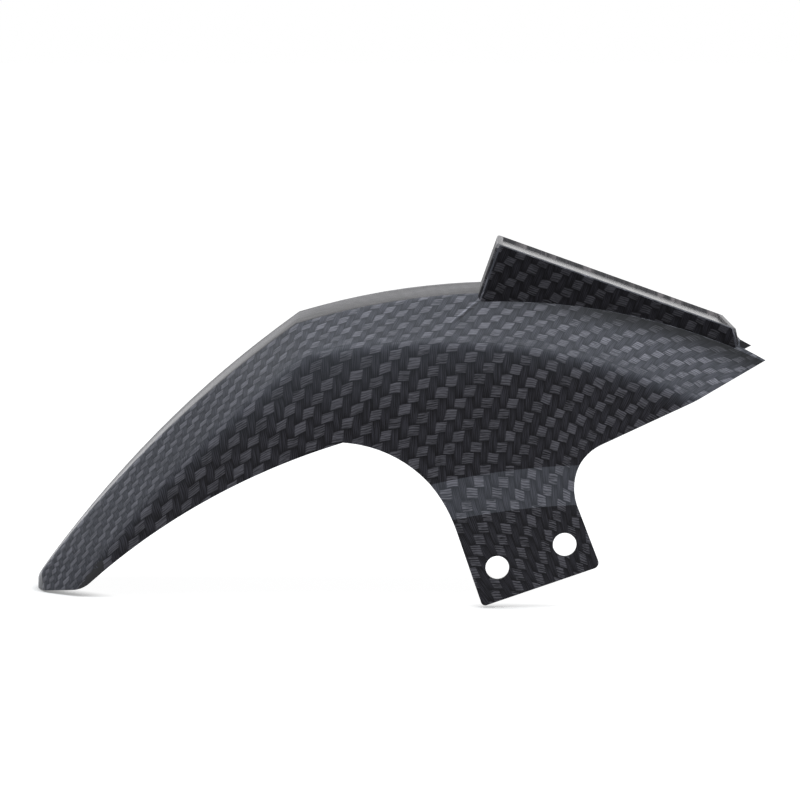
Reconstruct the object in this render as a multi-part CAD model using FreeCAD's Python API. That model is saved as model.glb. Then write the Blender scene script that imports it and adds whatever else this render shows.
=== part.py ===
"""Rear fender of a motorcycle, moulded in one piece.

An arched shell with a flat top, sloping shoulders and side walls hugs the wheel. Its tail narrows to a
rounded, turned-down end. A raised wedge-shaped box with a shallow tray stands on the nose. One stepped leg
with two bolt holes carries the fender on the near side.
Millimetres, +X to the nose, +Y from the leg to the far side, +Z up.
The origin is the middle of the two bolt holes, on the leg's seating face.
"""
import FreeCAD, Part
import math
import os

Vector = FreeCAD.Vector

# Wall of the whole moulding
wall = 2.5

# Leg: a tab with two bolt holes, tilted up towards the nose
hole_diameter = 10.0
hole_spacing = 30.0
leg_tilt = 19.0
leg_width = 52.5
leg_below_bolts = 13.6
leg_front_lean = 2.0
leg_rear_corner_radius = 1.8
leg_front_corner_radius = 2.6
leg_rear_root_radius = 58.0
leg_front_root_radius = 20.0

# Step between the side wall and the leg, turned about an axis far below
step_out = 6.0
step_drop = 14.7
step_radius = 323.0
step_slope = 7.0
step_x = -8.7
step_z = 34.3

# Line of the top, seen from the side: nose arc, front arc, kink and tail arc
crown_x = -10.0
crown_z = 109.2
nose_radius = 262.0
nose_tip_x = 100.5
front_radius = 310.0
kink_reach = 89.7
kink_turn = 18.5
tail_radius = 485.0
tail_tip_x = -213.0
tail_end_radius = 47.0
tail_end_rounding = 4.0

# Section: half widths at the bottom and at the top, how far the shoulder's foot lies inside the bottom at the
# kink and at the tail's tip, and the shoulder's drop
side_half = 58.0
side_half_tip = 33.0
top_half = 36.0
top_half_tip = 14.0
foot_tuck_kink = 6.0
foot_tuck_tip = 1.0
shoulder_drop_kink = 14.0
shoulder_drop_nose = 33.0
shoulder_drop_tip = 18.0
side_depth = 85.0
side_depth_tip = 40.0
top_crease_radius = 3.2
foot_crease_radius = 9.0

# Lower edges, seen from the side
tail_floor_z = -21.6
tail_floor_slope = 8.0
tail_heel_radius = 14.0
tail_edge_radius = 286.0
tail_edge_slope = 17.2
arch_corner_x = -79.3
arch_corner_z = 46.9
arch_corner_slope = 5.0
nose_edge_x = 69.8
nose_edge_z = 64.8
nose_edge_slope = 25.0
tip_edge_slope = 27.0
far_edge_z = 47.9

# Box on the nose, with a shallow tray in its sloping top
box_corner_x = -14.0
box_corner_z = 130.4
box_slope = 19.7
box_length = 108.2
box_half = 39.0
box_rear_skew = 2.2
box_end_lean = 12.0
box_corner_radius = 3.0
box_edge_rounding = 0.8
tray_rim = 2.6
tray_depth = 1.5

# Notch between the two nose tips
notch_x = 89.6
notch_half = 38.0
notch_flare_angle = 3.0

# Least radius of an inner corner, share of an edge that its rounding may take, and heights and runs that
# reach well past the moulding where a cutting shape has to clear it
least_radius = wall / 5
rounding_room = 0.95
overrun = 2 * wall
tall = 4 * side_depth


def mix(start, end, share):
    """Value at this share of the way from start to end."""
    return start + (end - start) * share


def side_point(x, z):
    """Point of the middle plane."""
    return Vector(x, 0, z)


def direction(degrees):
    """Unit vector in the side view, at this angle above +X."""
    return side_point(math.cos(math.radians(degrees)), math.sin(math.radians(degrees)))


def crossing(point_a, way_a, point_b, way_b):
    """Where two lines of the side view cross."""
    gap = point_b - point_a
    spread = way_a.x * way_b.z - way_a.z * way_b.x
    run = (gap.x * way_b.z - gap.z * way_b.x) / spread
    return point_a + way_a * run


def rounded_path(points, radii):
    """Edges along the points, each inner corner rounded as far as the edges beside it leave room."""
    edges = []
    start = points[0]
    for number, radius in enumerate(radii):
        before, corner, after = points[number:number + 3]
        back = (before - corner).normalize()
        ahead = (after - corner).normalize()
        half_angle = back.getAngle(ahead) / 2
        room = min((start - corner).Length, (after - corner).Length)
        reach = min(radius / math.tan(half_angle), rounding_room * room)
        arc_radius = reach * math.tan(half_angle)
        middle = (back + ahead).normalize()
        arc_start = corner + back * reach
        arc_middle = corner + middle * (arc_radius / math.sin(half_angle) - arc_radius)
        arc_end = corner + ahead * reach
        edges.append(Part.LineSegment(start, arc_start).toShape())
        edges.append(Part.Arc(arc_start, arc_middle, arc_end).toShape())
        start = arc_end
    edges.append(Part.LineSegment(start, points[-1]).toShape())
    return edges


def prism(edges, start_y, end_y):
    """Solid with this closed outline of the side view, from one Y to another."""
    face = Part.Face(Part.Wire(Part.__sortEdges__(edges)))
    face.translate(Vector(0, start_y, 0))
    return face.extrude(Vector(0, end_y - start_y, 0))


def polygon_edges(points):
    """Edges of a closed polygon."""
    return Part.makePolygon(points + points[:1]).Edges


# Stations along the line of the top: its point and its slope there
kink_slope = math.asin(kink_reach / front_radius)
kink_point = side_point(crown_x - kink_reach, crown_z - front_radius * (1 - math.cos(kink_slope)))
tail_start_slope = kink_slope + math.radians(kink_turn)
seam_slope = (kink_slope + tail_start_slope) / 2


def tail_slope_at(x):
    """Slope of the tail arc at this X."""
    return math.asin(math.sin(tail_start_slope) + (kink_point.x - x) / tail_radius)


def nose_slope_at(x):
    """Slope of the nose arc at this X, counted downwards."""
    return math.asin((x - crown_x) / nose_radius)


def tail_point(slope):
    """Point of the tail arc where it has this slope."""
    x = kink_point.x - tail_radius * (math.sin(slope) - math.sin(tail_start_slope))
    z = kink_point.z + tail_radius * (math.cos(slope) - math.cos(tail_start_slope))
    return side_point(x, z)


def crown_point(radius, slope):
    """Point of an arc through the crown at this slope: positive on the front arc, negative on the nose."""
    return side_point(crown_x - radius * math.sin(slope), crown_z - radius * (1 - math.cos(slope)))


def section(point, slope, top, foot, side, drop, depth, inset):
    """Closed wire across the fender at one station, drawn in from the outer face by an inset."""
    top_line = side_point(0, inset)
    shoulder = side_point(foot - top, drop).normalize()
    shoulder_in = side_point(top - shoulder.z * inset, shoulder.x * inset)
    wall_way = side_point(side - foot, depth - drop).normalize()
    wall_in = side_point(foot - wall_way.z * inset, drop + wall_way.x * inset)
    top_corner = crossing(top_line, side_point(1, 0), shoulder_in, shoulder)
    foot_corner = crossing(shoulder_in, shoulder, wall_in, wall_way)
    bottom_corner = crossing(wall_in, wall_way, side_point(0, depth + inset), side_point(1, 0))
    far_half = [top_corner, foot_corner, bottom_corner]
    near_half = [side_point(-corner.x, corner.z) for corner in reversed(far_half)]
    down = Vector(math.sin(slope), 0, -math.cos(slope))
    points = [point + Vector(0, corner.x, 0) + down * corner.z for corner in near_half + far_half]
    top_round = max(top_crease_radius - inset, least_radius)
    foot_round = max(foot_crease_radius - inset, least_radius)
    edges = rounded_path(points, [foot_round, top_round, top_round, foot_round])
    edges.append(Part.LineSegment(points[-1], points[0]).toShape())
    return Part.Wire(edges)


def front_section(point, slope, run, inset):
    """Section of the front and nose, at this run along the top from the kink."""
    share = run / front_run
    foot = mix(side_half - foot_tuck_kink, side_half, share)
    drop = mix(shoulder_drop_kink, shoulder_drop_nose, share)
    return section(point, slope, top_half, foot, side_half, drop, side_depth, inset)


def tail_section(point, slope, share, inset):
    """Section of the tail, which narrows more and more towards its tip."""
    top = mix(top_half, top_half_tip, share ** 2)
    foot = mix(side_half - foot_tuck_kink, side_half_tip - foot_tuck_tip, share ** 2)
    side = mix(side_half, side_half_tip, share ** 2)
    drop = mix(shoulder_drop_kink, shoulder_drop_tip, share)
    depth = mix(side_depth, side_depth_tip, share)
    return section(point, slope, top, foot, side, drop, depth, inset)


front_run = front_radius * kink_slope + nose_radius * nose_slope_at(nose_tip_x)


def front_body(inset):
    """Front and nose of the shell, as a solid drawn in by an inset."""
    front_shares = (2 / 3, 1 / 3, 0)
    nose_shares = (1 / 3, 2 / 3, 1)
    nose_end = nose_slope_at(nose_tip_x + overrun + inset)
    wires = [front_section(kink_point, seam_slope, 0, inset)]
    for share in front_shares:
        slope = kink_slope * share
        run = front_radius * (kink_slope - slope)
        wires.append(front_section(crown_point(front_radius, slope), slope, run, inset))
    for share in nose_shares:
        slope = nose_end * share
        run = front_radius * kink_slope + nose_radius * slope
        wires.append(front_section(crown_point(nose_radius, -slope), -slope, run, inset))
    return Part.makeLoft(wires, True)


def tail_body(inset):
    """Tail of the shell with its rounded end, as a solid drawn in by an inset."""
    tip_slope = tail_slope_at(tail_tip_x)
    end_slope = tail_slope_at(tail_tip_x - overrun)
    wires = [tail_section(kink_point, seam_slope, 0, inset)]
    for step in (1, 2, 3, 4):
        slope = mix(tail_start_slope, end_slope, step / 4)
        share = (slope - tail_start_slope) / (tip_slope - tail_start_slope)
        wires.append(tail_section(tail_point(slope), slope, share, inset))
    loft = Part.makeLoft(wires, True)
    centre = Vector(tail_tip_x + tail_end_radius, 0, -tall / 2)
    end = Part.makeCylinder(tail_end_radius - inset, tall, centre)
    rest_length = kink_point.x - centre.x + side_depth
    rest = Part.makeBox(rest_length, 4 * side_half, tall, centre - Vector(0, 2 * side_half, 0))
    return loft.common(end.fuse(rest))


def tail_outside():
    """The tail's outer form, with the upper edge of its end rounded."""
    body = tail_body(0)
    upper_edges = []
    for face in body.Faces:
        if face.Surface.TypeId == "Part::GeomCylinder":
            upper_edges += [edge for edge in face.Edges if edge.Curve.TypeId == "Part::GeomBSplineCurve"]
    return body.makeFillet(tail_end_rounding, upper_edges)


# Lower edges: the tail's arc, the leg's outline on the near side and a plain edge on the far side
leg_along = direction(leg_tilt)
leg_up = direction(leg_tilt + 90)
leg_rear_corner = leg_along * (-leg_width / 2) - leg_up * leg_below_bolts
leg_front_corner = leg_along * (leg_width / 2) - leg_up * leg_below_bolts
arch_corner = side_point(arch_corner_x, arch_corner_z)
nose_edge = side_point(nose_edge_x, nose_edge_z)
nose_edge_way = direction(nose_edge_slope)
leg_rear_root = crossing(arch_corner, direction(-arch_corner_slope), leg_rear_corner, leg_up)
leg_front_way = direction(leg_tilt + 90 + leg_front_lean)
leg_front_root = crossing(leg_front_corner, leg_front_way, nose_edge, nose_edge_way)
far_root = crossing(side_point(0, far_edge_z), side_point(1, 0), nose_edge, nose_edge_way)
beyond_left = tail_tip_x - side_depth
beyond_right = nose_tip_x + side_depth
beyond_top = box_corner_z + side_depth
tip_edge_end = crossing(nose_edge, direction(tip_edge_slope), side_point(beyond_right, 0), side_point(0, 1))
tail_floor = side_point(tail_tip_x, tail_floor_z)
tail_floor_way = direction(tail_floor_slope)
floor_start = crossing(tail_floor, tail_floor_way, side_point(beyond_left, 0), side_point(0, 1))


def tail_edge():
    """Edges under the tail: nearly level at its end, then an arc up to the arch's corner."""
    centre = arch_corner - direction(tail_edge_slope + 90) * tail_edge_radius
    ahead = (centre - tail_floor).dot(tail_floor_way)
    aside = (centre - tail_floor - tail_floor_way * ahead).Length
    heel = tail_floor + tail_floor_way * (ahead - math.sqrt(tail_edge_radius ** 2 - aside ** 2))
    heel_angle = math.degrees(math.atan2(heel.z - centre.z, heel.x - centre.x))
    arc_start_angle = heel_angle - math.degrees(tail_heel_radius / tail_edge_radius) / 2
    arc_middle_angle = (arc_start_angle + 90 + tail_edge_slope) / 2
    arc_start = centre + direction(arc_start_angle) * tail_edge_radius
    arc_middle = centre + direction(arc_middle_angle) * tail_edge_radius
    heel_edges = rounded_path([floor_start, heel, arc_start], [tail_heel_radius])
    return heel_edges + [Part.Arc(arc_start, arc_middle, arch_corner).toShape()]


def keep_above(lower_points, radii, start_y, end_y):
    """Solid over the lower edges, from one Y to another: what is left of the fender inside it is kept."""
    top_right = side_point(beyond_right, beyond_top)
    top_left = side_point(beyond_left, beyond_top)
    edges =tail_edge() + rounded_path(lower_points, radii)
    for start, end in ((lower_points[-1], top_right), (top_right, top_left), (top_left, floor_start)):
        edges.append(Part.LineSegment(start, end).toShape())
    return prism(edges, start_y, end_y)


leg_points = [leg_rear_root, leg_rear_corner, leg_front_corner, leg_front_root]
leg_radii = [leg_rear_root_radius, leg_rear_corner_radius, leg_front_corner_radius, leg_front_root_radius]
near_points = [arch_corner] + leg_points + [nose_edge, tip_edge_end]
near_radii = leg_radii + [side_depth]
far_points = [arch_corner, far_root, nose_edge, tip_edge_end]
far_radii = [leg_front_root_radius, side_depth]
near_keep = keep_above(near_points, near_radii, -2 * side_half, 0)
far_keep = keep_above(far_points, far_radii, 0, 2 * side_half)


# Step and leg: a Z-shaped section turned about the step's axis
step_axis = side_point(step_x, step_z) - direction(step_slope + 90) * step_radius
seat_to_middle = side_half + step_out
leg_outer = -(seat_to_middle + wall)
step_way = side_point(leg_outer + side_half, -step_drop).normalize()
step_inner = side_point(-side_half, step_radius) + side_point(-step_way.z, step_way.x) * wall
leg_bottom = (leg_rear_corner - step_axis).Length - overrun
half_turn = math.degrees(math.atan(1.2 * leg_width / step_radius))


def on_step_inner(y):
    """Point of the step's inner face at this Y, as (Y, radius)."""
    return crossing(step_inner, step_way, side_point(y, 0), side_point(0, 1))


def turned(corners):
    """Solid of a section, given as (Y, radius) corners, turned about the step's axis."""
    radial = direction(step_slope + 90 + half_turn)
    points = [step_axis + Vector(0, corner.x, 0) + radial * corner.z for corner in corners]
    face = Part.Face(Part.makePolygon(points + points[:1]))
    return face.revolve(step_axis, Vector(0, 1, 0), 2 * half_turn)


def leg_body():
    """The step and the tab below it, cut to the leg's outline, with its two holes."""
    step_outer = side_point(-side_half, step_radius)
    root = crossing(step_outer, step_way, side_point(wall / 2 - side_half, 0), side_point(0, 1))
    corners = [
        root,
        side_point(leg_outer, step_radius - step_drop),
        side_point(leg_outer, leg_bottom),
        side_point(leg_outer + wall, leg_bottom),
        on_step_inner(leg_outer + wall),
        on_step_inner(wall - side_half),
    ]
    leg = turned(corners).common(near_keep)
    for side in (-1, 1):
        centre = leg_along * (side * hole_spacing / 2) + Vector(0, leg_outer - wall, 0)
        leg = leg.cut(Part.makeCylinder(hole_diameter / 2, 3 * wall, centre, Vector(0, 1, 0)))
    return leg


def below_step():
    """Space under the step, where the side wall ends."""
    outer_y = -side_half - overrun
    inner_y = -side_half + overrun
    corners = [on_step_inner(inner_y), on_step_inner(outer_y), side_point(outer_y, leg_bottom)]
    return turned(corners + [side_point(inner_y, leg_bottom)])


# Box on the nose: a wedge with a sloping top, drawn in by an inset for its hollow
box_along = direction(-box_slope)
box_up = direction(90 - box_slope)
box_corner = side_point(box_corner_x, box_corner_z)
box_end_way = direction(90 + box_end_lean)


def box_body(inset, lowered):
    """Wedge under the box's sloping top, drawn in by an inset and lowered by a depth below that top."""
    top_start = box_corner + box_along * inset - box_up * lowered
    end_point = box_corner + box_along * (box_length - inset)
    top_end = crossing(top_start, box_along, end_point, box_end_way)
    deep = side_point(0, crown_z - shoulder_drop_nose)
    bottom_start = crossing(top_start, box_up, deep, side_point(1, 0))
    bottom_end = crossing(end_point, box_end_way, deep, side_point(1, 0))
    ends = []
    for side, skew in ((-1, 0), (1, box_rear_skew)):
        shift = box_along * skew
        across = Vector(0, side * (box_half - inset), 0)
        corners = [top_start + shift, top_end, bottom_end, bottom_start + shift]
        ends.append(Part.makePolygon([corner + across for corner in corners + corners[:1]]))
    body = Part.makeLoft(ends, True, True)
    uprights = []
    for edge in body.Edges:
        box = edge.BoundBox
        if box.ZLength > max(box.XLength, box.YLength):
            uprights.append(edge)
    return body.makeFillet(max(box_corner_radius - inset, least_radius), uprights)


def box_outside():
    """The box's outer form, with the edge of its top rounded."""
    body = box_body(0, 0)
    rim = []
    for edge in body.Edges:
        below_top = [(box_corner - vertex.Point).dot(box_up) for vertex in edge.Vertexes]
        if max(below_top) < wall / 100:
            rim.append(edge)
    return body.makeFillet(box_edge_rounding, rim)


def tray():
    """Shallow recess in the box's top."""
    return box_body(tray_rim, -tray_depth).cut(box_body(0, tray_depth))


def notch():
    """Space between the nose tips, opening a little towards their ends."""
    flare = math.tan(math.radians(notch_flare_angle)) * (beyond_right - notch_x)
    corners = [
        Vector(notch_x, -notch_half, -tall / 2),
        Vector(beyond_right, -notch_half - flare, -tall / 2),
        Vector(beyond_right, notch_half + flare, -tall / 2),
        Vector(notch_x, notch_half, -tall / 2),
    ]
    return Part.Face(Part.makePolygon(corners + corners[:1])).extrude(Vector(0, 0, tall))


def rear_fender():
    """The whole moulding."""
    outer = front_body(0).fuse([tail_outside(), box_outside()])
    shell = outer.common(near_keep.fuse(far_keep)).cut(notch())
    hollow = front_body(wall).fuse([tail_body(wall), box_body(wall, wall + tray_depth)])
    shell = shell.cut([hollow, below_step(), tray()])
    fender = shell.fuse(leg_body()).removeSplitter()
    fender.translate(Vector(0, seat_to_middle, 0))
    return fender


os.makedirs("parts", exist_ok=True)
fender = rear_fender()
print("solids", len(fender.Solids), "valid", fender.isValid(), "volume", round(fender.Volume))
print(fender.BoundBox)
fender.exportStep("parts/rear_fender.step")
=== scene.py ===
# %% [markdown]
# # Rear fender with a woven carbon look
# The real object is one plastic moulding: an arched shell over the wheel, a raised box on its nose and one
# leg with two bolt holes. Its shape comes finished from the CAD frame, so this lesson is about its surface:
# a twill cloth look that follows the shell, a plain moulded back, and the light of a white studio table.

# %% Load the frame
import bpy
import math
import numpy as np
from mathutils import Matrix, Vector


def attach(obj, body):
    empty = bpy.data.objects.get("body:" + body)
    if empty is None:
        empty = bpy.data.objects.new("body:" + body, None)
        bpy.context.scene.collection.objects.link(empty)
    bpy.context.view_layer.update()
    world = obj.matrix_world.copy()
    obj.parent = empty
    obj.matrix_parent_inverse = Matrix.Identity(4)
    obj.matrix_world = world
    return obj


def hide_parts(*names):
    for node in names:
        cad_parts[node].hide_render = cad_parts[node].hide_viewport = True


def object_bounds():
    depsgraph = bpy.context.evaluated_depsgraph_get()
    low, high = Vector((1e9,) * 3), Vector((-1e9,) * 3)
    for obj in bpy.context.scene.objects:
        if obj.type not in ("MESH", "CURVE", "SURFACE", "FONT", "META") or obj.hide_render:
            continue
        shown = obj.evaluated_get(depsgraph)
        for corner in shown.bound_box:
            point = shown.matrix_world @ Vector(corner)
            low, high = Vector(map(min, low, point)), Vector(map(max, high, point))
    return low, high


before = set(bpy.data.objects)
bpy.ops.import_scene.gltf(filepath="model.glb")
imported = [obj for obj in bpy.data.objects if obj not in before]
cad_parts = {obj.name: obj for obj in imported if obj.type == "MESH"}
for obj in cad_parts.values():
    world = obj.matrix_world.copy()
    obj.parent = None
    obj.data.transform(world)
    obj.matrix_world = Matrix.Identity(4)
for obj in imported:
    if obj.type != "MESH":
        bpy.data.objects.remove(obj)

cad_box = [list(corner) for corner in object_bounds()]
print("CAD box", cad_box)

# %% [markdown]
# ## Camera
# The photograph looks almost square at the fender's side, from a little above and from far away, so its lines
# barely converge. A long lens at nearly two metres gives that. The place could be found by eye; here it was
# worked out from the bolt holes, whose size and spacing are known.

# %% Camera
camera_place = (-0.05519, -1.8325, 0.2391)
camera_tilt = 84.6
camera_data = bpy.data.cameras.new("photo_camera")
camera_data.sensor_width = 36.0
camera_data.lens = 197.04
camera_data.clip_end = 50.0
camera = bpy.data.objects.new("photo_camera", camera_data)
bpy.context.scene.collection.objects.link(camera)
camera.location = camera_place
camera.rotation_euler = (math.radians(camera_tilt), 0.0, 0.0)
bpy.context.scene.camera = camera
bpy.context.scene.view_settings.view_transform = "Standard"
print("camera lens", camera_data.lens)

# %% [markdown]
# ## A bench for nodes
# Light and finishes are trees of nodes. Each node could be made, set and linked line by line, but the same
# few lines would then come back hundreds of times. A small helper does them: it makes a node with its
# settings, feeds each input with a number or another node's output, and hands back what the next node needs.


# %% Node bench
class NodeBench:
    """Adds nodes to one node tree and joins them."""

    def __init__(self, tree):
        self.tree = tree

    def feed(self, socket, value):
        """Links an output to a socket, or writes a plain value into it."""
        if isinstance(value, bpy.types.NodeSocket):
            self.tree.links.new(value, socket)
        else:
            socket.default_value = value

    def node(self, kind, feeds=None, **settings):
        """New node: first its settings, then its inputs by name or number."""
        made = self.tree.nodes.new(kind)
        for name, value in settings.items():
            setattr(made, name, value)
        for socket, value in (feeds or {}).items():
            self.feed(made.inputs[socket], value)
        return made

    def maths(self, operation, *values):
        """Output of a Math node."""
        return self.node("ShaderNodeMath", dict(enumerate(values)), operation=operation).outputs[0]

    def plus(self, first, second):
        """Sum of two values."""
        return self.maths("ADD", first, second)

    def minus(self, first, second):
        """First value less the second."""
        return self.maths("SUBTRACT", first, second)

    def times(self, first, second):
        """Product of two values."""
        return self.maths("MULTIPLY", first, second)

    def scaled(self, value, factor, start):
        """A value times a factor, added to a start."""
        return self.maths("MULTIPLY_ADD", value, factor, start)

    def span(self, value, low, high, start=0.0, end=1.0, way="LINEAR"):
        """Carries the range from low to high over to the range from start to end."""
        feeds = {"Value": value, "From Min": low, "From Max": high, "To Min": start, "To Max": end}
        return self.node("ShaderNodeMapRange", feeds, interpolation_type=way).outputs["Result"]

    def rise(self, value, low, high):
        """Smooth rise from 0 at low to 1 at high."""
        return self.span(value, low, high, way="SMOOTHSTEP")

    def fall(self, value, low, high):
        """Smooth fall from 1 at low to 0 at high."""
        return self.minus(1.0, self.rise(value, low, high))


print("bench ready")

# %% [markdown]
# ## Studio light
# The photograph has a white ground and soft light from above. A large soft lamp overhead makes the shoulders
# bright and leaves the upright sides dark, which is what shows the form, and a small one past the tail's end
# picks out its top. The white around could come from strong light, but that would bleach the fender. So the
# world looks white to the eye and in reflections, and gives only a little light of its own.

# %% World
white = (1.0, 1.0, 1.0, 1.0)
room_tint = (0.96, 0.98, 1.0, 1.0)
room_level = 0.14


def seen_rays(bench):
    """1 for rays from the eye, off gloss or through glass, and 0 for rays that only carry light."""
    path = bench.node("ShaderNodeLightPath").outputs
    either = bench.maths("MAXIMUM", path["Is Camera Ray"], path["Is Glossy Ray"])
    return bench.maths("MAXIMUM", either, path["Is Transmission Ray"])


world = bpy.data.worlds.new("white_room")
bpy.context.scene.world = world
world.use_nodes = True
room = NodeBench(world.node_tree)
room.tree.nodes.clear()
room_light = room.node("ShaderNodeBackground", {"Color": room_tint, "Strength": room_level}).outputs[0]
room_seen = room.node("ShaderNodeBackground", {"Color": white, "Strength": 1.0}).outputs[0]
room_mix = room.node("ShaderNodeMixShader", {"Fac": seen_rays(room), 1: room_light, 2: room_seen})
room.node("ShaderNodeOutputWorld", {"Surface": room_mix.outputs[0]})
print("world light", room_level)

# %% Lamps
lamp_tint = (0.92, 0.97, 1.0)


def softbox(name, watts, width, depth, place, turn):
    """Rectangular lamp that shines down, turned about Y by some degrees."""
    lamp_data = bpy.data.lights.new(name, "AREA")
    lamp_data.shape = "RECTANGLE"
    lamp_data.size = width
    lamp_data.size_y = depth
    lamp_data.energy = watts
    lamp_data.color = lamp_tint
    lamp = bpy.data.objects.new(name, lamp_data)
    bpy.context.scene.collection.objects.link(lamp)
    lamp.location = place
    lamp.rotation_euler = (0.0, math.radians(turn), 0.0)
    print(name, watts, "W")


softbox("overhead_softbox", watts=19.0, width=2.2, depth=1.1, place=(-0.05, -0.05, 1.0), turn=0.0)
softbox("tail_softbox", watts=2.2, width=0.9, depth=0.7, place=(-1.25, 0.15, 0.75), turn=-57.0)

# %% [markdown]
# ## White table
# The fender stands on a white table that runs into the white ground, with a faint shadow close to where the
# leg and the tail touch it. A lit white plane would turn grey with distance. So the plane glows white to the
# eye, and an Ambient Occlusion node takes the glow away near the fender. Behind the fender that shade fades
# out, as in the photograph. Seen from below, the table is clear, so that the underside can be looked at.

# %% Table plane
floor_gap = 0.0002
floor_size = 16.0
floor_level = cad_box[0][2] - floor_gap
bpy.ops.object.select_all(action="DESELECT")
bpy.ops.mesh.primitive_plane_add(size=floor_size, location=(0.0, 5.0, floor_level))
floor = bpy.context.object
floor.name = "white_table"
bpy.ops.object.transform_apply(location=True, rotation=True, scale=True)
print("floor at", round(floor_level * 1000, 2), "mm")

# %% Glow and contact shade
contact_reach = 0.013
contact_samples = 4
contact_darkest = 0.22
contact_range = (0.40, 0.95)
shade_ends_y = (0.045, 0.080)
fade_range = (0.35, 1.6)
fade_levels = (0.98, 1.0)
table_white = bpy.data.materials.new("table_white")
table_white.use_nodes = True
table = NodeBench(table_white.node_tree)
table.tree.nodes.clear()
table_place = table.node("ShaderNodeTexCoord").outputs["Object"]
table_far = table.node("ShaderNodeVectorMath", {0: table_place}, operation="LENGTH").outputs["Value"]
table_fade = table.span(table_far, *fade_range, *fade_levels)
table_near = table.node("ShaderNodeAmbientOcclusion", {"Distance": contact_reach}, samples=contact_samples)
table_contact = table.span(table_near.outputs["AO"], *contact_range, contact_darkest, 1.0)
table_y = table.node("ShaderNodeSeparateXYZ", {0: table_place}).outputs["Y"]
table_behind = table.span(table_y, *shade_ends_y)
table_shade = table.maths("MAXIMUM", table_behind, table_contact)
table_level = table.times(table_fade, table_shade)
table_strength = table.times(seen_rays(table), table_level)
print("contact shade reaches", contact_reach * 1000, "mm")

# %% Table finish
table_grey = (0.30, 0.30, 0.30, 1.0)
table_face = table.node("ShaderNodeBsdfDiffuse", {"Color": table_grey}).outputs[0]
table_glow = table.node("ShaderNodeEmission", {"Strength": table_strength}).outputs[0]
table_top = table.node("ShaderNodeAddShader", {0: table_face, 1: table_glow}).outputs[0]
table_below = table.node("ShaderNodeBsdfTransparent").outputs[0]
table_back = table.node("ShaderNodeNewGeometry").outputs["Backfacing"]
table_mix = table.node("ShaderNodeMixShader", {"Fac": table_back, 1: table_top, 2: table_below})
table.node("ShaderNodeOutputMaterial", {"Surface": table_mix.outputs[0]})
floor.data.materials.append(table_white)
print("table finish", len(table.tree.nodes), "nodes")

# %% [markdown]
# ## The skin
# The moulding's mesh comes as loose triangles. A copy with its doubles merged can carry smooth shading and
# UV maps of its own, and then stands for the CAD node. Long triangles would bend the cloth's lines at their
# edges, so the copy is cut into short ones, and the smooth normals from before the cuts are kept as its
# shading.

# %% Copy and merge
merge_reach = 0.000004
sharp_angle = 20.0
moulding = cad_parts["rear_fender"]
bpy.ops.object.select_all(action="DESELECT")
skin = bpy.data.objects.new("fender_skin", moulding.data.copy())
bpy.context.scene.collection.objects.link(skin)
skin.select_set(True)
bpy.context.view_layer.objects.active = skin
bpy.ops.object.mode_set(mode="EDIT")
bpy.ops.mesh.select_all(action="SELECT")
bpy.ops.mesh.remove_doubles(threshold=merge_reach)
bpy.ops.object.mode_set(mode="OBJECT")
if skin.data.has_custom_normals:
    bpy.ops.mesh.customdata_custom_splitnormals_clear()
bpy.ops.object.shade_smooth_by_angle(angle=math.radians(sharp_angle))
print("skin", len(skin.data.vertices), "points", len(skin.data.polygons), "triangles")

# %% Smooth normals put aside
smooth = np.zeros(len(skin.data.loops) * 3)
skin.data.corner_normals.foreach_get("vector", smooth)
kept = skin.data.attributes.new("smooth_normal", "FLOAT_VECTOR", "CORNER")
kept.data.foreach_set("vector", smooth)
print("normals kept", len(kept.data))

# %% Short triangles
cut_steps = {0: 0.007, 2: 0.006}
cut_snap = 1e-7
bpy.ops.object.mode_set(mode="EDIT")
for axis, step in cut_steps.items():
    facing = [0.0, 0.0, 0.0]
    facing[axis] = 1.0
    cut_at = cad_box[0][axis] + step
    while cut_at < cad_box[1][axis]:
        point = [cut_at * part for part in facing]
        bpy.ops.mesh.select_all(action="SELECT")
        bpy.ops.mesh.bisect(plane_co=point, plane_no=facing, threshold=cut_snap)
        cut_at += step
bpy.ops.mesh.select_all(action="SELECT")
bpy.ops.mesh.quads_convert_to_tris(quad_method="BEAUTY", ngon_method="BEAUTY")
bpy.ops.object.mode_set(mode="OBJECT")
print("cut skin", len(skin.data.polygons), "triangles")

# %% Smooth normals put back
smooth = np.zeros(len(skin.data.loops) * 3)
skin.data.attributes["smooth_normal"].data.foreach_get("vector", smooth)
smooth = smooth.reshape(-1, 3)
smooth /= np.linalg.norm(smooth, axis=1)[:, None]
skin.data.attributes.remove(skin.data.attributes["smooth_normal"])
skin.data.polygons.foreach_set("use_smooth", [True] * len(skin.data.polygons))
skin.data.normals_split_custom_set(smooth.tolist())
print("normals put back", len(smooth))

# %% [markdown]
# ## How the cloth lies
# A printed or laid cloth runs along the arch: its weft yarns follow the fender from tail to nose, and its
# warp yarns run down over the shoulders. On the real one the weft swings from rising steeply on the tail to
# falling on the nose, and the warp leans with it. An unwrap by Blender could not know that. So the UV maps
# are made by formula: one value along the fender, one across it, both in yarns, with the swing given at a few
# places and blended between them. All lengths here are in millimetres.

# %% Lines of the shell
crown_x = -10.0
crown_z = 109.2
nose_radius = 262.0
front_radius = 310.0
tail_radius = 485.0
kink_run = 89.7
kink_bend = 18.5
tip_x = -213.0
middle_y = 64.0
kink_x = crown_x - kink_run
kink_slope = math.asin(kink_run / front_radius)
kink_z = crown_z - front_radius * (1 - math.cos(kink_slope))
tail_slope = kink_slope + math.radians(kink_bend)
tip_slope = math.asin(math.sin(tail_slope) + (kink_x - tip_x) / tail_radius)


def circle_top(x, radius, middle_x, middle_z):
    """Height of the top of a circle above each X."""
    return middle_z + np.sqrt(np.maximum(radius ** 2 - (x - middle_x) ** 2, 0.0))


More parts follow.
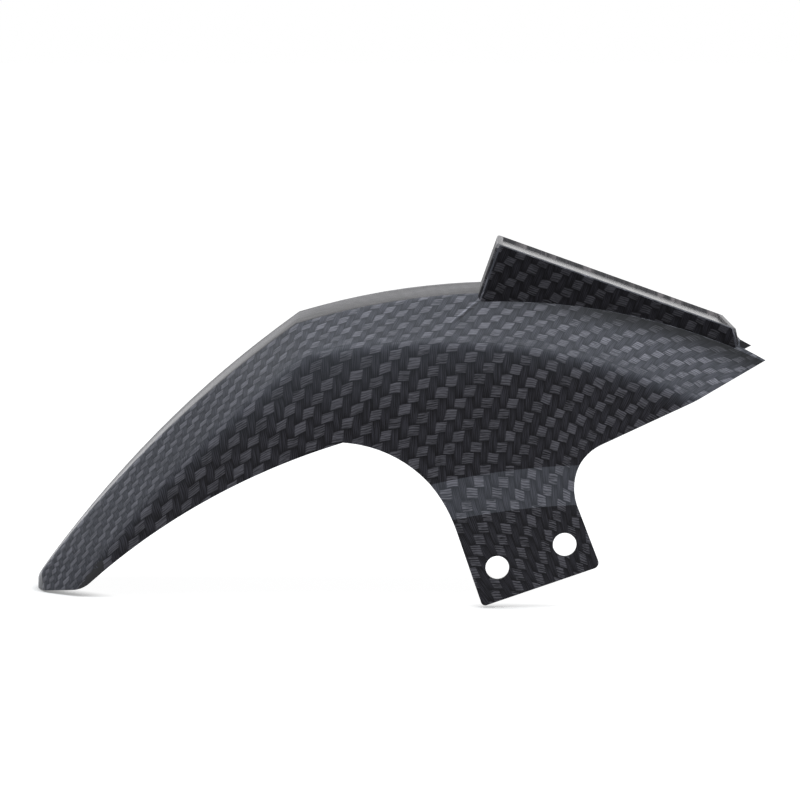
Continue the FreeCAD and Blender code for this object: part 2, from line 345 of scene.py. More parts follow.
def top_height(x):
    """Height of the top line above each X."""
    nose = circle_top(x, nose_radius, crown_x, crown_z - nose_radius)
    front = circle_top(x, front_radius, crown_x, crown_z - front_radius)
    tail_x = kink_x + tail_radius * math.sin(tail_slope)
    tail_z = kink_z - tail_radius * math.cos(tail_slope)
    tail = circle_top(x, tail_radius, tail_x, tail_z)
    return np.where(x > crown_x, nose, np.where(x > kink_x, front, tail))


print("kink at", round(kink_x, 1), round(kink_z, 1), "mm")

# %% Shoulder of the shell
top_half = 36.0
top_loss_tail = 22.0
kink_foot_half = 52.0
foot_loss_tail = 20.0
foot_gain_nose = 6.0
kink_drop = 14.0
drop_gain_tail = 4.0
drop_gain_nose = 19.0
nose_run = 110.5


def station(x, z, slope, drop, foot_half, half):
    """Foot of the shoulder (X, Z, half width), and X and half width of the flat top."""
    return x + math.sin(slope) * drop, z - math.cos(slope) * drop, foot_half, x, half


def tail_stations():
    """Stations from the tail's tip up to the kink."""
    rows = []
    for part in np.linspace(1.05, 0.04, 30):
        slope = tail_slope + (tip_slope - tail_slope) * part
        x = kink_x - tail_radius * (math.sin(slope) - math.sin(tail_slope))
        z = kink_z + tail_radius * (math.cos(slope) - math.cos(tail_slope))
        foot_half = kink_foot_half - foot_loss_tail * part ** 2
        half = top_half - top_loss_tail * part ** 2
        rows.append(station(x, z, slope, kink_drop + drop_gain_tail * part, foot_half, half))
    return rows


def front_stations():
    """Stations from the kink over the crown to the nose."""
    rows = []
    before_crown = front_radius * kink_slope
    whole = before_crown + nose_radius * math.asin(nose_run / nose_radius)
    for part in np.linspace(0.04, 1.0, 40):
        run = part * whole - before_crown
        radius = front_radius if run < 0 else nose_radius
        slope = -run / radius
        x = crown_x - radius * math.sin(slope)
        z = crown_z - radius * (1 - math.cos(slope))
        foot_half = kink_foot_half + foot_gain_nose * part
        rows.append(station(x, z, slope, kink_drop + drop_gain_nose * part, foot_half, top_half))
    return rows


stations = np.array(tail_stations() + front_stations())
foot_x = np.maximum.accumulate(stations[:, 0])
foot_heights = stations[:, 1]
foot_halves = stations[:, 2]
top_x = stations[:, 3]
top_halves = stations[:, 4]
print("stations", len(stations))

# %% Swing of the yarns along the fender
yarn_x = [-215.0, -182.0, -140.0, -111.0, -85.0, -47.0, -15.0, 8.0, 34.0, 63.0, 100.0]
weft_rise = [42.0, 38.0, 35.0, 29.0, 18.0, 9.0, -1.0, -16.0, -25.0, -28.0, -29.0]
warp_lean = [-18.0, -14.0, -11.0, -7.0, -2.0, 1.0, 3.0, 9.0, 20.0, 32.0, 42.0]
column_pitch = [3.5, 3.55, 3.65, 4.0, 4.3, 4.05, 3.9, 3.75, 3.45, 3.35, 3.3]
shoulder_crowding = [2.0, 2.0, 1.9, 1.7, 1.5, 1.4, 1.3, 1.25, 1.2, 1.15, 1.1]
shoulder_lean = [0.0, 0.0, 0.05, 0.15, 0.3, 0.4, 0.35, 0.25, 0.1, 0.0, 0.0]
shoulder_pitch = [2.2, 2.2, 2.3, 2.5, 2.8, 3.1, 3.2, 3.1, 2.8, 2.3, 1.9]
row_pitch = 4.75
blur_half = 20
fine_x = np.linspace(-225.0, 115.0, 681)
fine_step = np.diff(fine_x, prepend=fine_x[0])


def yarns_along(pitch):
    """Yarns passed on the way to each fine place, where the pitch changes."""
    return np.cumsum(fine_step / np.interp(fine_x, yarn_x, pitch))


def yarn_slope(degrees):
    """Slope of the yarns at each fine place, blurred so that no bend shows."""
    blur = np.ones(2 * blur_half + 1) / (2 * blur_half + 1)
    slope = np.tan(np.radians(np.interp(fine_x, yarn_x, degrees)))
    return np.convolve(np.pad(slope, blur_half, mode="edge"), blur, mode="valid")


fine_column = yarns_along(column_pitch)
fine_shoulder = yarns_along(shoulder_pitch)
fine_rise = yarn_slope(weft_rise)
fine_lean = yarn_slope(warp_lean)
mean_rise = (fine_rise[1:] + fine_rise[:-1]) / 2
fine_lift = np.concatenate([[0.0], np.cumsum(mean_rise * np.diff(fine_x))])
print("lift from tail to nose", round(float(fine_lift[-1]), 1), "mm")


# %% Place on the shell
def top_half_at(x):
    """Half width of the flat top at each X."""
    return np.interp(x, top_x, top_halves)


def down_shoulder(x, y, z):
    """Distance from the edge of the flat top."""
    over = np.maximum(np.abs(y - middle_y) - top_half_at(x), 0.0)
    drop = np.maximum(top_height(x) - z, 0.0)
    return np.hypot(over, drop)


def up_from_foot(x, y, z):
    """Way up from the foot of the shoulder on the surface, negative below, and the foot's height."""
    off = y - middle_y
    half = top_half_at(x)
    foot_half = np.interp(x, foot_x, foot_halves)
    foot_z = np.interp(x, foot_x, foot_heights)
    shoulder = np.hypot(foot_half - half, top_height(x) - foot_z)
    on_shoulder = np.minimum(down_shoulder(x, y, z), shoulder)
    across = np.where(z < foot_z, shoulder + foot_z - z, on_shoulder)
    across = np.where(np.abs(off) <= half, -off - half, across)
    return shoulder - across, foot_z


print("top half width at the tip", round(float(top_half_at(tip_x)), 1), "mm")

# %% Place on the cloth
leg_bend = 0.0073
leg_bend_x = -70.0
leg_bend_run = 30.0
leg_bend_top = 46.0
tail_end_x = -195.0
tail_end_run = 18.0
tail_end_half = 29.0
tail_end_turn = 0.5


def warp_shift(x, y, z, above_foot):
    """Shift of the warp along the fender: it leans, bends on the leg and turns round the tail's end."""
    shift = -above_foot * np.interp(x, fine_x, fine_lean)
    shift -= np.maximum(above_foot, 0.0) * np.interp(x, yarn_x, shoulder_lean)
    on_leg = np.clip((x - leg_bend_x) / leg_bend_run, 0.0, 1.0)
    shift -= leg_bend * on_leg * np.minimum(z - leg_bend_top, 0.0) ** 2
    at_end = np.clip((tail_end_x - x) / tail_end_run, 0.0, 1.0)
    shift -= tail_end_turn * at_end * np.maximum(tail_end_half - np.abs(y - middle_y), 0.0)
    return shift


def cloth_place(x, y, z):
    """Columns of the side's and the shoulder's cloth, the row, and the way up from the shoulder's foot."""
    above_foot, foot_z = up_from_foot(x, y, z)
    crowding = np.where(above_foot > 0, np.interp(x, yarn_x, shoulder_crowding), 1.0)
    row = np.interp(x, fine_x, fine_lift) - foot_z - above_foot * crowding
    shift = warp_shift(x, y, z, above_foot)
    side = np.interp(x, fine_x, fine_column) + shift / np.interp(x, yarn_x, column_pitch)
    shoulder = np.interp(x, fine_x, fine_shoulder) + shift / np.interp(x, yarn_x, shoulder_pitch)
    return side, shoulder, row / row_pitch, above_foot


print("rows of", row_pitch, "mm")

# %% [markdown]
# ## Which faces show cloth
# On the real one the film covers what the eye meets from outside: the top, the shoulders, the sides, the box
# and the tail's end. The inside, the back of the leg and the cut edges stay plain. The faces could be picked
# by hand, but they are many, so each is told by the way it faces and by where it lies.

# %% Read the faces
face_total = len(skin.data.polygons)
points = np.zeros(len(skin.data.vertices) * 3)
skin.data.vertices.foreach_get("co", points)
points = points.reshape(-1, 3) * 1000.0
corners = np.zeros(face_total * 3, dtype=np.int64)
skin.data.loops.foreach_get("vertex_index", corners)
normals = np.zeros(face_total * 3)
skin.data.polygons.foreach_get("normal", normals)
normals = normals.reshape(-1, 3)
triangles = points[corners.reshape(-1, 3)]
centres = triangles.mean(axis=1)
centre_x, centre_y, centre_z = centres.T
normal_x, normal_y, normal_z = normals.T
print("faces read", face_total)

# %% Outer faces
side_turn = 0.75
side_lift = 0.66
top_margin = 2.0
least_outward = 0.15
end_facing = 0.6
leg_back_y = 3.0
leg_facing = 0.3
off = centre_y - middle_y
beside = np.abs(off)
side_outward = np.sign(off) * side_turn * normal_y + side_lift * normal_z
outward = np.where(beside > top_half + top_margin, side_outward, normal_z)
shows = outward > least_outward
shows |= (normal_x < -end_facing) & (centre_x < tail_end_x)
shows &= ~((centre_y < leg_back_y) & (normal_y > -leg_facing))
print("outer faces", int(shows.sum()))

# %% Faces of the box
box_slope = math.radians(19.7)
box_along = np.array([math.cos(box_slope), 0.0, -math.sin(box_slope)])
box_up = np.array([math.sin(box_slope), 0.0, math.cos(box_slope)])
box_corner = np.array([-14.0, middle_y, 130.4])
box_half = 39.0
box_start_x = -26.0
box_rear_x = -30.0
box_front_x = 60.0
wall_margin = 0.5
rim_margin = 0.2
rim_depth = 4.0
tray_depth = 2.2
side_facing = 0.93
wall_facing = 0.6
over_box = (centres - box_corner) @ box_up
facing_along = normals @ box_along
facing_up = normals @ box_up
past_start = centre_x > box_start_x
in_width = beside < box_half + wall_margin
at_side = np.abs(beside - box_half) < wall_margin
in_tray = (beside < box_half - wall_margin) & past_start & (over_box > -tray_depth)
shows |= in_tray
box_side = shows & (np.abs(normal_y) > side_facing) & at_side & past_start
box_rear = shows & (facing_along < -wall_facing) & (centre_x > box_rear_x) & in_width
box_front = shows & (facing_along > wall_facing) & (centre_x > box_front_x) & in_width
box_top = shows & (normal_z > wall_facing) & (beside < box_half + rim_margin) & past_start
box_top &= over_box > -rim_depth
box_walls = box_side | box_rear | box_front
in_box = box_walls | box_top | in_tray
print("cloth on", int(shows.sum()), "of", face_total, "triangles; on the box", int(in_box.sum()))

# %% [markdown]
# ## Cloth on the shell
# On the real one the yarns crowd on the shoulder and lie wider on the side. One UV map could be squeezed
# there, but the squeeze would show as a smear. So there are two maps, one for each, and the finish blends
# from one to the other. Both share their rows, so that the rows meet. The box has cloth of its own, laid
# straight along it.

# %% UV maps in yarns
box_column_pitch = 3.4
box_row_pitch = 4.1
box_length = 108.0
flat = triangles.reshape(-1, 3)
flat_x, flat_y, flat_z = flat.T
column, shoulder_column, row, above_foot = cloth_place(flat_x, flat_y, flat_z)
shoulder_row = row.copy()
from_corner = flat - box_corner
along = from_corner @ box_along
down = -(from_corner @ box_up)
aside = from_corner[:, 1]
box_cloth = (
    (box_top, along, -box_half - aside),
    (box_side, along, down),
    (box_rear, -box_half - aside, down),
    (box_front, box_length + box_half + aside, down),
)
for faces, new_column, new_row in box_cloth:
    chosen = np.repeat(faces, 3)
    column = np.where(chosen, new_column / box_column_pitch, column)
    row = np.where(chosen, new_row / box_row_pitch, row)
cloth_map = skin.data.uv_layers.new(name="cloth_yarns")
skin.data.uv_layers.active = cloth_map
cloth_map.data.foreach_set("uv", np.stack([column, row], axis=1).ravel())
shoulder_map = skin.data.uv_layers.new(name="shoulder_yarns")
shoulder_map.data.foreach_set("uv", np.stack([shoulder_column, shoulder_row], axis=1).ravel())
print("UV maps", [layer.name for layer in skin.data.uv_layers])

# %% [markdown]
# ## Painted light and shade on the film
# Part of the light and shade here is painted into the film. The shoulder is painted pale and fades down the
# side, paler on the nose and darker on the tail, the step over the leg is painted pale, the tray gets a
# painted reflection, and the box's walls are painted dark. These lamps alone don't give that, and a painted
# picture would blur. So each corner of the mesh gets a few values by its place, and the finish reads them as
# attributes.

# %% Parts of the film
floor_facing = 0.9
floor_depth = 1.0
tray_wall_facing = 0.7
step_top_z = 60.0
step_start_x = -60.0
tray_floor = in_tray & (facing_up > floor_facing) & (over_box < -floor_depth)
tray_wall = in_tray & (facing_up < tray_wall_facing)
on_step = (centre_z < step_top_z) & (centre_x > step_start_x)
step_band = shows & (normal_y < -0.8) & (normal_z > 0.25) & on_step
top_face = shows & (np.abs(normal_y) < 0.2) & (normal_z > 0.5) & ~in_box
print("tray", int(in_tray.sum()), "step", int(step_band.sum()), "top", int(top_face.sum()), "faces")

# %% Shoulder share and painted light on the shoulder
foot_blend = 7.0
shoulder_painted_light = 0.55
painted_light_power = 1.5
painted_light_x = [-215.0, -160.0, -130.0, -107.0, -84.0, -60.0, -36.0, -8.0, 20.0, 49.0, 100.0]
painted_light_reaches = [6.0, 8.0, 14.0, 26.0, 32.0, 32.0, 26.0, 14.0, 9.0, 8.0, 8.0]
painted_light_levels = [0.3, 0.4, 0.62, 0.78, 0.8, 0.7, 0.62, 0.6, 0.68, 0.72, 0.7]


def soft_step(value):
    """Smooth rise from 0 to 1."""
    part = np.clip(value, 0.0, 1.0)
    return part * part * (3.0 - 2.0 * part)


on_shoulder = soft_step(above_foot / foot_blend)
share = on_shoulder.copy()
share[np.repeat(in_box, 3)] = 0.0
# Painted light: the shoulder is painted pale, as if lit from above, and this painted light fades down the side
# below its foot.
painted_light_reach = np.interp(flat_x, painted_light_x, painted_light_reaches)
painted_light_level = np.interp(flat_x, painted_light_x, painted_light_levels)
painted_light_above = painted_light_level + (shoulder_painted_light - painted_light_level) * on_shoulder
painted_light_below = painted_light_level * (1.0 - np.clip(-above_foot / painted_light_reach, 0.0, 1.0)) ** painted_light_power
painted_light = np.where(above_foot > 0.0, painted_light_above, painted_light_below)
print("veil from", round(float(painted_light.min()), 2), "to", round(float(painted_light.max()), 2))

# %% Painted light and shade, coat, warmth and lines
tail_shade_x = [-175.0, -140.0, -105.0, -85.0]
tail_shade_share = [0.0, 1.0, 0.7, 0.0]
tail_painted_shade = 0.14
nose_painted_light = 0.25
nose_fade = 60.0
plain_coat = 0.11
plain_lines = 0.24
leg_lines = 0.2
nose_lines = 0.12
# Painted light on the shoulder of the nose and painted shade on the shoulder of the tail.
tone = 1.0 + nose_painted_light * share * np.clip((flat_x + 10.0) / nose_fade, 0.0, 1.0)
tone -= tail_painted_shade * share * np.interp(flat_x, tail_shade_x, tail_shade_share)
coat = np.full(face_total * 3, plain_coat)
warm = np.zeros(face_total * 3)
leg_share = soft_step((flat_x + 75.0) / 10.0) * soft_step((40.0 - flat_z) / 28.0)
lines = plain_lines + leg_lines * leg_share
lines += nose_lines * share * np.clip((flat_x + 20.0) / nose_fade, 0.0, 1.0)
print("lines from", round(float(lines.min()), 2), "to", round(float(lines.max()), 2))

# %% Place across the flat top
# It runs from -1 at the far edge to 0 at the near one, then on down the shoulder in centimetres.
no_strip = 5.0
flat_half = top_half_at(flat_x)
over_top = np.clip((middle_y - flat_y - flat_half) / (2.0 * flat_half), -1.0, 0.0)
strip = np.where(np.repeat(top_face, 3), over_top, down_shoulder(flat_x, flat_y, flat_z) / 10.0)
print("strip from", round(float(strip.min()), 2))

# %% Whole parts in one level, and the attributes
# Painted light and shade by part: the box's walls get painted shade and no painted light, the step over the
# leg gets painted light, and the tray gets a painted reflection that is palest on its walls.
part_levels = (
    (painted_light, box_walls, 0.0),
    (painted_light, step_band, 0.55),
    (painted_light, in_tray, 0.65),
    (painted_light, tray_wall, 1.0),
    (tone, box_walls, 0.5),
    (tone, in_tray, 1.2),
    (tone, tray_wall, 1.8),
    (tone, tray_floor, 1.0),
    (coat, box_walls, 0.02),
    (coat, tray_floor, 0.75),
    (warm, in_tray, 0.6),
    (warm, top_face, 0.35),
    (strip, in_box, no_strip),
)
for values, faces, level in part_levels:
    values[np.repeat(faces, 3)] = level
film_layers = {
    "painted_light_and_shade": tone,
    "painted_light_layer": painted_light,
    "shoulder_share": share,
    "cloth_coat": coat,
    "top_strip": strip,
    "film_warmth": warm,
    "yarn_lines": lines,
}
for name, values in film_layers.items():
    layer = skin.data.attributes.new(name, "FLOAT", "CORNER")
    layer.data.foreach_set("value", values)
print("film layers", list(film_layers))

# %% [markdown]
# ## Twill weave
# In this twill each warp yarn passes over two weft yarns and under one, and each row starts one yarn further
# on, so the light weft shows as small blocks in slanting chains. A picture could be used, but a formula stays
# sharp at any distance: whole yarn numbers tell which yarn is on top, and the fractions shape its round back.
# It is a node group, because the finish uses it twice, once for each UV map.


# %% Yarns and their edges
def group_bench(name, inputs, outputs):
    """New node group with named sockets, and the bench to build it on."""
    group = bpy.data.node_groups.new(name, "ShaderNodeTree")
    for socket, kind in inputs.items():
        group.interface.new_socket(socket, in_out="INPUT", socket_type=kind)
    for socket in outputs:
        group.interface.new_socket(socket, in_out="OUTPUT", socket_type="NodeSocketFloat")
    return NodeBench(group)


yarn_wander = 0.35
weave_inputs = {"Yarns": "NodeSocketVector", "Lines": "NodeSocketFloat"}
yarn = group_bench("twill_weave", weave_inputs, ("Weft", "Shade", "Height"))
yarn_in = yarn.node("NodeGroupInput").outputs
wander_feeds = {"Scale": 0.45, "Detail": 1.0, "Vector": yarn_in["Yarns"]}
wander = yarn.node("ShaderNodeTexNoise", wander_feeds, noise_dimensions="2D").outputs["Color"]
wander_parts = yarn.node("ShaderNodeSeparateColor", {0: wander}).outputs
yarn_parts = yarn.node("ShaderNodeSeparateXYZ", {0: yarn_in["Yarns"]}).outputs
yarn_u = yarn.scaled(wander_parts[0], yarn_wander, yarn_parts["X"])
yarn_v = yarn.scaled(wander_parts[1], yarn_wander, yarn_parts["Y"])
whole_u = yarn.maths("FLOOR", yarn_u)
whole_v = yarn.maths("FLOOR", yarn_v)
part_u = yarn.minus(yarn_u, whole_u)
part_v = yarn.minus(yarn_v, whole_v)
edge_u = yarn.maths("MINIMUM", part_u, yarn.minus(1.0, part_u))
edge_v = yarn.maths("MINIMUM", part_v, yarn.minus(1.0, part_v))
print("yarns", len(yarn.tree.nodes), "nodes")

# %% Weft blocks and warp arches
twill_repeat = 3.0
weft_slant = 0.2
weft_start = 0.9
block_end = (0.50, 0.70)
block_edge = (0.0, 0.10)
weft_line = yarn.plus(yarn.plus(yarn_u, whole_v), weft_start)
weft_run = yarn.scaled(part_v, weft_slant, weft_line)
weft_turn = yarn.maths("FLOOR", yarn.maths("DIVIDE", weft_run, twill_repeat))
weft_part = yarn.maths("FLOORED_MODULO", weft_run, twill_repeat)
from_middle = yarn.maths("ABSOLUTE", yarn.minus(weft_part, twill_repeat / 2))
weft = yarn.times(yarn.fall(from_middle, *block_end), yarn.rise(edge_v, *block_edge))
block = yarn.node("ShaderNodeCombineXYZ", {"X": weft_turn, "Y": whole_v}).outputs[0]
chance = yarn.node("ShaderNodeTexWhiteNoise", {"Vector": block}, noise_dimensions="2D").outputs["Value"]
warp_run = yarn.maths("FLOORED_MODULO", yarn.plus(whole_u, yarn_v), twill_repeat)
warp_part = yarn.times(yarn.minus(warp_run, 1.0), 0.5)
warp_bow = yarn.times(yarn.times(warp_part, yarn.minus(1.0, warp_part)), 4.0)
warp_arch = yarn.maths("MAXIMUM", warp_bow, 0.0)
print("blocks", len(yarn.tree.nodes), "nodes")


# %% Fine lines along the yarns
def noise_along(bench, u_scale, v_scale, u, v):
    """Fine streaks, drawn out along one direction."""
    feeds = {"X": bench.times(u, u_scale), "Y": bench.times(v, v_scale)}
    place = bench.node("ShaderNodeCombineXYZ", feeds).outputs[0]
    feeds = {"Scale": 1.0, "Detail": 2.0, "Roughness": 0.6, "Vector": place}
    return bench.node("ShaderNodeTexNoise", feeds, noise_dimensions="2D").outputs["Fac"]


streak_range = (0.28, 0.72)
weft_thread = 29.0
warp_thread = 31.0
weft_streak = yarn.rise(noise_along(yarn, 0.6, 8.5, yarn_u, yarn_v), *streak_range)
weft_wave = yarn.maths("SINE", yarn.scaled(weft_streak, 2.6, yarn.times(yarn_v, weft_thread)))
weft_lines = yarn.scaled(weft_streak, 0.48, yarn.scaled(weft_wave, yarn_in["Lines"], 0.27))
warp_streak = yarn.rise(noise_along(yarn, 7.5, 0.4, yarn_u, yarn_v), *streak_range)
warp_wave = yarn.maths("SINE", yarn.scaled(warp_streak, 2.2, yarn.times(yarn_u, warp_thread)))
warp_lines = yarn.plus(yarn.times(warp_streak, 0.5), yarn.scaled(warp_wave, 0.25, 0.25))
print("lines", len(yarn.tree.nodes), "nodes")

# %% Shade and height of the weave
weft_shade = yarn.scaled(chance, 0.25, yarn.times(weft_lines, 0.75))
warp_gap = yarn.scaled(yarn.rise(edge_u, 0.0, 0.2), 0.5, 0.5)
warp_shade = yarn.times(yarn.times(warp_lines, warp_gap), yarn.scaled(warp_arch, 0.7, 0.3))
warp_seen = yarn.minus(1.0, weft)
weave_shade = yarn.plus(yarn.times(weft, weft_shade), yarn.times(warp_seen, warp_shade))
weft_back = yarn.maths("SQRT", yarn.times(edge_v, 2.0))
weft_round = yarn.times(weft_back, yarn.minus(1.0, yarn.times(from_middle, 0.6)))
warp_back = yarn.maths("SQRT", yarn.times(edge_u, 2.0))
warp_round = yarn.times(warp_back, yarn.scaled(warp_arch, 0.4, 0.3))
weave_round = yarn.plus(yarn.times(weft, weft_round), yarn.times(warp_seen, warp_round))
weave_height = yarn.scaled(weave_shade, 0.3, weave_round)
yarn.node("NodeGroupOutput", {"Weft": weft, "Shade": weave_shade, "Height": weave_height})
print("weave group", len(yarn.tree.nodes), "nodes")

# %% [markdown]
# ## Marks of the film and painted light
# Some marks are narrower than the mesh's triangles: a short fold behind the box with a painted highlight on it
# and painted shade below it, painted shade along the box's foot, the streaks of the flat top, and painted
# shade across the flat top with a painted highlight along its crease on the tail. They could be cut into the
# mesh, but they have no depth to speak of. So a second node group works them out from the place in space, in
# metres, and from the place across the top.

# %% Fold behind the box, with a painted highlight and painted shade
fold_x = -0.0222
fold_z = 0.1060
fold_cos = 0.786
fold_sin = 0.619
fold_width = 0.0007
fold_under_gap = 0.0009
fold_side_y = 0.060
fold_start = (-0.001, 0.002)
fold_finish = (0.010, 0.016)
marks_inputs = {"Place": "NodeSocketVector", "Strip": "NodeSocketFloat"}
film = group_bench("film_marks_and_painted_light", marks_inputs, ("Fold", "Shade", "Gloss"))
film_in = film.node("NodeGroupInput").outputs
film_place = film.node("ShaderNodeSeparateXYZ", {0: film_in["Place"]}).outputs
place_x = film_place["X"]
place_y = film_place["Y"]
from_x = film.minus(place_x, fold_x)
from_z = film.minus(film_place["Z"], fold_z)
fold_run = film.plus(film.times(from_x, -fold_cos), film.times(from_z, -fold_sin))
fold_off = film.plus(film.times(from_x, -fold_sin), film.times(from_z, fold_cos))
fold_ends = film.times(film.rise(fold_run, *fold_start), film.fall(fold_run, *fold_finish))
fold_near = film.maths("LESS_THAN", place_y, fold_side_y)
fold_ridge = film.fall(film.maths("ABSOLUTE", fold_off), 0.0, fold_width)
fold = film.times(film.times(fold_ridge, fold_ends), fold_near)
under_off = film.maths("ABSOLUTE", film.plus(fold_off, fold_under_gap))
fold_under = film.fall(under_off, 0.0, fold_width)
fold_painted_shade = film.times(film.times(fold_under, fold_ends), fold_near)
# The fold's ridge gets a painted highlight and a line just below it gets painted shade; the ridge also lifts
# the relief.
fold_painted_light_and_shade = film.scaled(fold, 0.8, film.scaled(fold_painted_shade, -0.5, 1.0))
print("fold", len(film.tree.nodes), "nodes")

# %% Painted shade along the box's foot
# Painted shade on the shoulder close beside the box's foot, growing towards the nose.
box_foot_half = 0.0391
box_foot_reach = 0.007
box_foot_painted_shade = 0.82
box_foot_x = (-0.020, 0.045)
from_centre = film.maths("ABSOLUTE", film.minus(place_y, middle_y / 1000.0))
box_gap = film.minus(from_centre, box_foot_half)
box_outside = film.maths("GREATER_THAN", box_gap, 0.0)
box_close = film.times(box_outside, film.fall(box_gap, 0.0, box_foot_reach))
box_shade = film.times(box_close, film.times(film.rise(place_x, *box_foot_x), box_foot_painted_shade))
print("box foot", len(film.tree.nodes), "nodes")

# %% Painted highlight along the crease of the flat top on the tail
kink_blend_x = (-0.110, -0.090)
tail_climb_x = (-0.190, -0.105)
far_band = (-0.96, -0.80)
crease_start = (-0.6, -0.3)
crease_finish = (-0.05, 0.3)
strip_at = film_in["Strip"]
on_strip = film.maths("LESS_THAN", strip_at, -0.0001)
in_tail = film.fall(place_x, *kink_blend_x)
up_tail = film.rise(place_x, *tail_climb_x)
# On the tail's flat top: painted shade along the far edge, a painted highlight in a band near the near edge,
# and painted shade beyond that band.
far_edge_painted_shade = film.times(on_strip, film.fall(strip_at, *far_band))
crease_at = film.scaled(up_tail, 0.3, strip_at)
past_crease = film.rise(crease_at, *crease_finish)
crease_highlight_band = film.times(film.rise(crease_at, *crease_start), film.minus(1.0, past_crease))
crease = film.times(crease_highlight_band, film.scaled(up_tail, -0.75, 0.9))
crease_foot = film.times(past_crease, on_strip)
print("crease", len(film.tree.nodes), "nodes")

# %% Painted light and shade, and gloss, of the flat top
# Painted shade across the flat top, deepest at its near edge, as on a crowned top; on the tail the painted
# highlight and shade of the crease take over.
crown_painted_shade = film.times(on_strip, film.scaled(strip_at, 0.45, 0.65))
crown_painted_tone = film.minus(1.0, crown_painted_shade)
tail_strip_painted_shade = film.plus(film.times(crease_foot, -0.55), 1.0)
tail_painted_tone = film.scaled(crease, 0.8, film.scaled(far_edge_painted_shade, -0.5, tail_strip_painted_shade))
strip_painted_tone = film.scaled(film.minus(tail_painted_tone, crown_painted_tone), in_tail, crown_painted_tone)
crown_gloss = film.minus(1.0, film.times(on_strip, film.plus(strip_at, 1.0)))
tail_free = film.minus(1.0, film.maths("MAXIMUM", far_edge_painted_shade, crease_foot))
tail_gloss = film.scaled(crease, 3.0, tail_free)
strip_gloss = film.scaled(film.minus(tail_gloss, crown_gloss), in_tail, crown_gloss)
streak = film.minus(noise_along(film, 14.0, 300.0, place_x, place_y), 0.5)
streak_tone = film.scaled(film.times(streak, on_strip), 2.4, 1.0)
print("flat top", len(film.tree.nodes), "nodes")

# %% Marks and painted light together
box_and_fold_painted_light = film.times(film.minus(1.0, box_shade), fold_painted_light_and_shade)
painted_light_and_streaks = film.times(box_and_fold_painted_light, film.times(strip_painted_tone, streak_tone))
film_gloss = film.times(strip_gloss, streak_tone)
# The Shade output carries the painted light and shade of the fold, the box's foot and the flat top, with the
# streaks.
film.node("NodeGroupOutput", {"Fold": fold, "Shade": painted_light_and_streaks, "Gloss": film_gloss})
print("marks group", len(film.tree.nodes), "nodes")

# %% [markdown]
# ## Woven lacquer
# The cloth side is dark grey and black under a thin satin lacquer: the weft blocks are a cool mid grey, the
# warp is nearly black, and both have fine lines along their yarns. The two patterns are blended where the
# shoulder turns into the side, then tinted and given the painted light and shade of the film's attributes. A
# picture texture could hold all that, but would need an unwrap without seams and a great many pixels.

# %% Two patterns blended
woven = bpy.data.materials.new("woven_lacquer")
woven.use_nodes = True
cloth = NodeBench(woven.node_tree)
surface = cloth.tree.nodes["Principled BSDF"]


def film_layer(name):
    """Value of one of the film's attributes."""
    return cloth.node("ShaderNodeAttribute", attribute_name=name).outputs["Fac"]


patterns = []
line_strength = film_layer("yarn_lines")
for map_name in ("cloth_yarns", "shoulder_yarns"):
    yarns = cloth.node("ShaderNodeUVMap", uv_map=map_name).outputs["UV"]
    feeds = {"Yarns": yarns, "Lines": line_strength}
    patterns.append(cloth.node("ShaderNodeGroup", feeds, node_tree=yarn.tree).outputs)
blended = {}
shoulder_part = film_layer("shoulder_share")
for output in ("Weft", "Shade", "Height"):
    feeds = {"Factor": shoulder_part, "A": patterns[0][output], "B": patterns[1][output]}
    blended[output] = cloth.node("ShaderNodeMix", feeds).outputs["Result"]
print("patterns", len(patterns), "blended into", list(blended))


# %% Tint of the yarns
def tint(bench, value, dark_at, dark, light_at, light):
    """Colour that goes from a dark to a light one as a value rises."""
    ramp = bench.node("ShaderNodeValToRGB", {"Fac": value})
    ramp.color_ramp.elements[0].position = dark_at
    ramp.color_ramp.elements[0].color = dark
    ramp.color_ramp.elements[1].position = light_at
    ramp.color_ramp.elements[1].color = light
    return ramp.outputs["Color"]


def mix_colours(share_of_second, first, second, way="MIX"):
    """Two colours of the cloth mixed, added or multiplied."""
    feeds = {"Factor": share_of_second, "A": first, "B": second}
    return cloth.node("ShaderNodeMix", feeds, data_type="RGBA", blend_type=way).outputs["Result"]


weft_dark = (0.018, 0.0172, 0.0205, 1.0)
weft_light = (0.195, 0.187, 0.214, 1.0)
warp_dark = (0.006, 0.0057, 0.0073, 1.0)
warp_light = (0.068, 0.065, 0.080, 1.0)
weft_tint = tint(cloth, blended["Shade"], 0.15, weft_dark, 0.85, weft_light)
warp_tint = tint(cloth, blended["Shade"], 0.05, warp_dark, 0.9, warp_light)
yarn_colour = mix_colours(blended["Weft"], warp_tint, weft_tint)
print("yarn colours from", warp_dark[:3], "to", weft_light[:3])

# %% Painted light and shade of the film
# Colour of the painted light.
painted_light_colour = (0.062, 0.067, 0.077, 1.0)
warm_white = (1.15, 1.03, 0.83, 1.0)
object_place = cloth.node("ShaderNodeTexCoord").outputs["Object"]
mark_feeds = {"Place": object_place, "Strip": film_layer("top_strip")}
mark = cloth.node("ShaderNodeGroup", mark_feeds, node_tree=film.tree).outputs
# Painted light is added to the yarns' colour, then the painted light and shade of the attributes and the marks
# is multiplied in.
yarns_with_painted_light = mix_colours(film_layer("painted_light_layer"), yarn_colour, painted_light_colour, "ADD")
painted_film_tone = cloth.times(film_layer("painted_light_and_shade"), mark["Shade"])
film_white = mix_colours(film_layer("film_warmth"), white, warm_white)
film_feeds = {0: film_white, "Scale": painted_film_tone}
painted_film_tint = cloth.node("ShaderNodeVectorMath", film_feeds, operation="SCALE").outputs[0]
cloth.feed(surface.inputs["Base Color"], mix_colours(1.0, yarns_with_painted_light, painted_film_tint, "MULTIPLY"))
print("film tones", len(cloth.tree.nodes), "nodes")

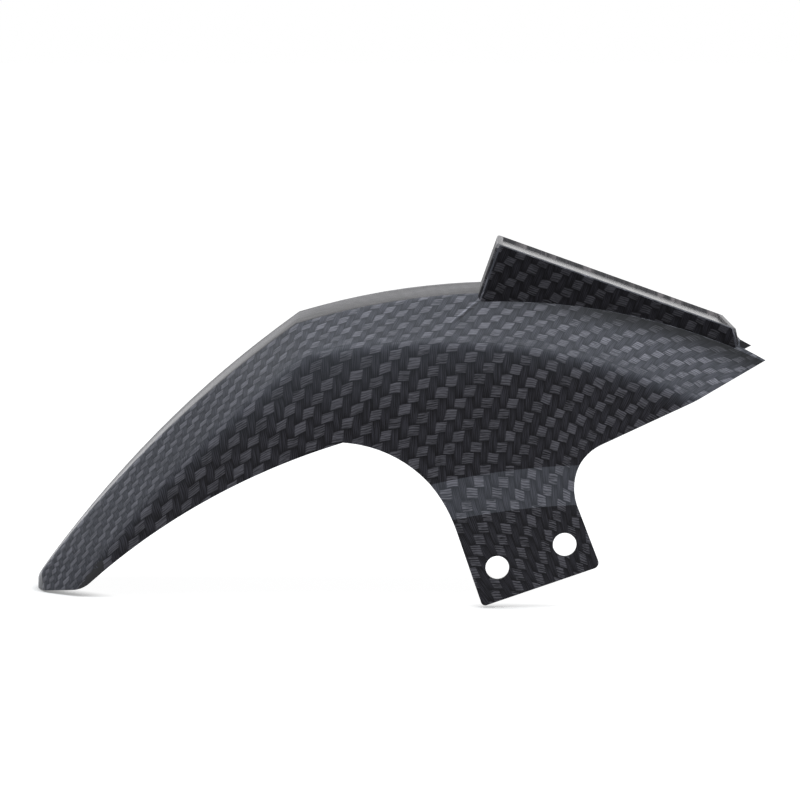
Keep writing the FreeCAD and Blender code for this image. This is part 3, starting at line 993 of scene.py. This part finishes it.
# %% Relief and gloss of the cloth
fold_lift = 2.5
cloth_roughness = (0.36, 0.46)
relief_height = cloth.scaled(mark["Fold"], fold_lift, blended["Height"])
relief_feeds = {"Strength": 0.5, "Distance": 0.0003, "Height": relief_height}
relief = cloth.node("ShaderNodeBump", relief_feeds).outputs["Normal"]
cloth.feed(surface.inputs["Normal"], relief)
cloth.feed(surface.inputs["Roughness"], cloth.span(blended["Shade"], 0.0, 1.0, *cloth_roughness))
cloth.feed(surface.inputs["Coat Weight"], cloth.times(film_layer("cloth_coat"), mark["Gloss"]))
surface.inputs["Specular IOR Level"].default_value = 0.05
surface.inputs["Coat Roughness"].default_value = 0.17
print("woven lacquer", len(cloth.tree.nodes), "nodes")

# %% [markdown]
# ## Moulded back
# The inside, the back of the leg and the cut edges are plain black plastic, as it came out of the mould. A
# flat black would look dead, so a slow noise varies its tone and gloss as the melt's flow does, and a fine one
# gives the grain of the mould.

# %% Moulded back
back = bpy.data.materials.new("moulded_back")
back.use_nodes = True
plastic = NodeBench(back.node_tree)
body = plastic.tree.nodes["Principled BSDF"]
back_place = plastic.node("ShaderNodeTexCoord").outputs["Object"]


def mould_noise(scale, detail):
    """Noise over the moulded back."""
    feeds = {"Scale": scale, "Detail": detail, "Vector": back_place}
    return plastic.node("ShaderNodeTexNoise", feeds).outputs["Fac"]


grain = mould_noise(1400.0, 3.0)
flow = mould_noise(22.0, 4.0)
back_dark = (0.010, 0.010, 0.012, 1.0)
back_light = (0.024, 0.024, 0.027, 1.0)
back_roughness = (0.48, 0.62)
plastic.feed(body.inputs["Base Color"], tint(plastic, flow, 0.0, back_dark, 1.0, back_light))
grain_feeds = {"Strength": 0.25, "Distance": 0.0002, "Height": grain}
plastic.feed(body.inputs["Normal"], plastic.node("ShaderNodeBump", grain_feeds).outputs["Normal"])
plastic.feed(body.inputs["Roughness"], plastic.span(flow, 0.0, 1.0, *back_roughness))
body.inputs["Specular IOR Level"].default_value = 0.3
print("moulded back", len(plastic.tree.nodes), "nodes")

# %% Finishes on the faces
skin.data.materials.clear()
skin.data.materials.append(woven)
skin.data.materials.append(back)
skin.data.polygons.foreach_set("material_index", np.where(shows, 0, 1).astype(np.int32))
skin.data.update()
print("finishes", [slot.name for slot in skin.data.materials])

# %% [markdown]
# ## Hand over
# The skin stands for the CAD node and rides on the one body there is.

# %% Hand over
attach(skin, "root")
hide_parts("rear_fender")
bpy.context.view_layer.update()
